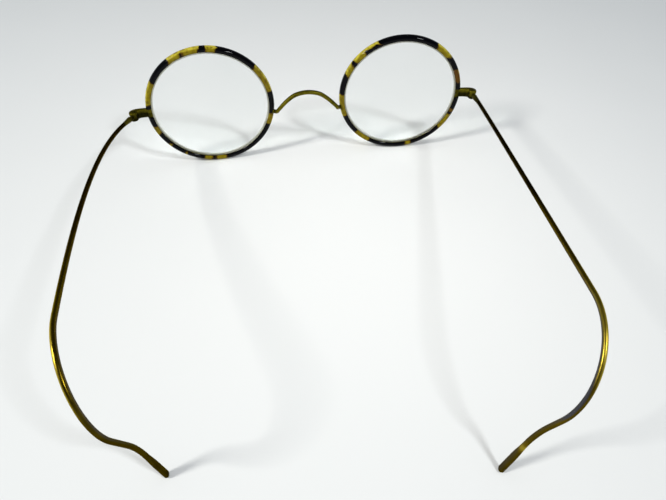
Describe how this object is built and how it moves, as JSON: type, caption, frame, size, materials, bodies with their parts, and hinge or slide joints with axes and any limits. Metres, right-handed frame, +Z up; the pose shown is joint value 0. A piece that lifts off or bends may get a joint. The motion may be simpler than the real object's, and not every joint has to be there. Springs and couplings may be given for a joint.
{
  "type": "round eyeglasses",
  "caption": "Round eyeglasses with tortoiseshell-covered metal rims, clear lenses, a saddle bridge and bent wire temples that fold on screwed hinges.",
  "frame": {"origin": "under the middle of the bounding box, on the surface that the rims and the temple tips stand on", "axes": "+Z up, +Y towards the outer side of the lenses, away from the wearer, and +X to the wearer's right"},
  "size_m": [0.1212, 0.1246, 0.0438],
  "materials": {
    "aged_gold": "aged polish",
    "tortoiseshell": "polished celluloid",
    "lens_glass": "clear polished"
  },
  "bodies": {
    "front": {"bridge": "aged_gold", "lens_right": "lens_glass", "eyewire_right": "aged_gold", "rim_cover_right": "tortoiseshell", "endpiece_upper_right": "aged_gold", "endpiece_lower_right": "aged_gold", "hinge_screw_right": "aged_gold", "lens_left": "lens_glass", "eyewire_left": "aged_gold", "rim_cover_left": "tortoiseshell", "endpiece_upper_left": "aged_gold", "endpiece_lower_left": "aged_gold", "hinge_screw_left": "aged_gold"},
    "right_temple": {"temple_butt_right": "aged_gold", "temple_right": "aged_gold"},
    "left_temple": {"temple_butt_left": "aged_gold", "temple_left": "aged_gold"}
  },
  "joints": [
    {"name": "right_hinge", "type": "hinge", "parent": "front", "child": "right_temple", "pos_m": [0.05926, 0.05651, 0.0212], "axis": [0, -0.075, -0.9972], "range_deg": [0, 76]},
    {"name": "left_hinge", "type": "hinge", "parent": "front", "child": "left_temple", "pos_m": [-0.05513, 0.05651, 0.0212], "axis": [0, 0.075, 0.9972], "range_deg": [0, 84]}
  ]
}
